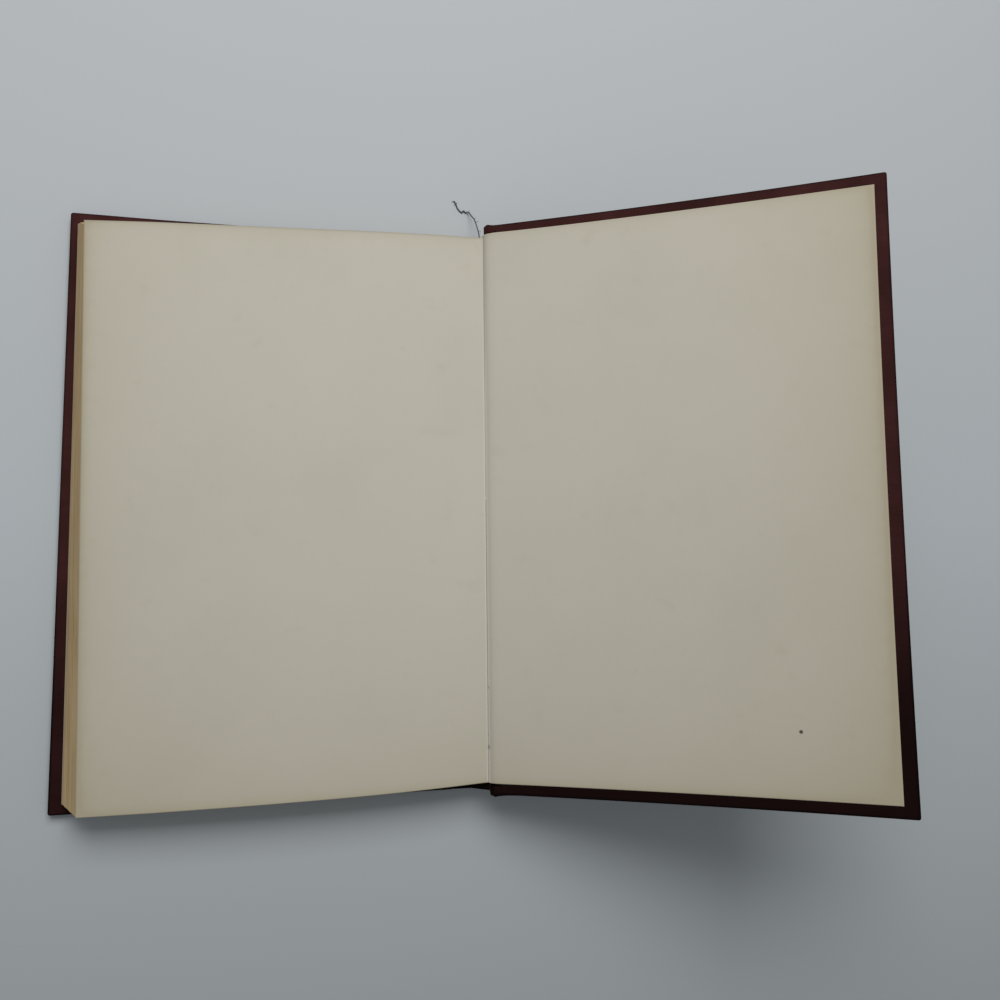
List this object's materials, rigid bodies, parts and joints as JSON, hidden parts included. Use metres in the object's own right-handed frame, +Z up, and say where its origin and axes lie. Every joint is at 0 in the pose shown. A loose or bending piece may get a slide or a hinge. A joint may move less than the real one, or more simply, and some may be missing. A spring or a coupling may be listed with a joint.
{
  "type": "open book",
  "caption": "Cloth-cased hardback book lying open at its rear endpaper, with both covers hinged and a loose thread at the head.",
  "frame": {"origin": "centre of the front cover's outer face, on the surface that the book lies on", "axes": "+X from the front cover's fore edge towards the spine and the back cover, +Y to the head of the book, +Z up"},
  "size_m": [0.2666, 0.2221, 0.0836],
  "materials": {
    "page_edges": "trimmed leaves, toned tan",
    "endpaper": "matt cream, lightly mottled",
    "book_cloth": "dark maroon-brown book cloth",
    "grey_board": "plain board",
    "lining": "open-weave lining",
    "thread": "frayed grey-brown thread"
  },
  "bodies": {
    "book_block": {"text_block": "page_edges", "rear_flyleaf": "endpaper", "front_flyleaf": "endpaper", "rear_hinge_paper": "endpaper", "front_hinge_paper": "endpaper", "back_joint_cloth": "book_cloth", "front_joint_cloth": "book_cloth", "spine_lining": "lining", "spine_strip": "grey_board", "spine_cloth": "book_cloth", "loose_thread": "thread"},
    "front_cover": {"front_board": "grey_board", "front_cover_cloth": "book_cloth", "front_pastedown": "endpaper"},
    "back_cover": {"back_board": "grey_board", "back_cover_cloth": "book_cloth", "rear_pastedown": "endpaper"}
  },
  "joints": [
    {"name": "front_cover_hinge", "type": "hinge", "parent": "book_block", "child": "front_cover", "pos_m": [0.07275, 0, 0.0033], "axis": [0, -1, 0], "range_deg": [0, 180], "deforming": ["front_hinge_paper", "front_joint_cloth"]},
    {"name": "back_cover_hinge", "type": "hinge", "parent": "book_block", "child": "back_cover", "pos_m": [0.07795, 0, 0.0145], "axis": [0, 1, 0], "range_deg": [-150, 30], "deforming": ["rear_hinge_paper", "back_joint_cloth"]}
  ]
}
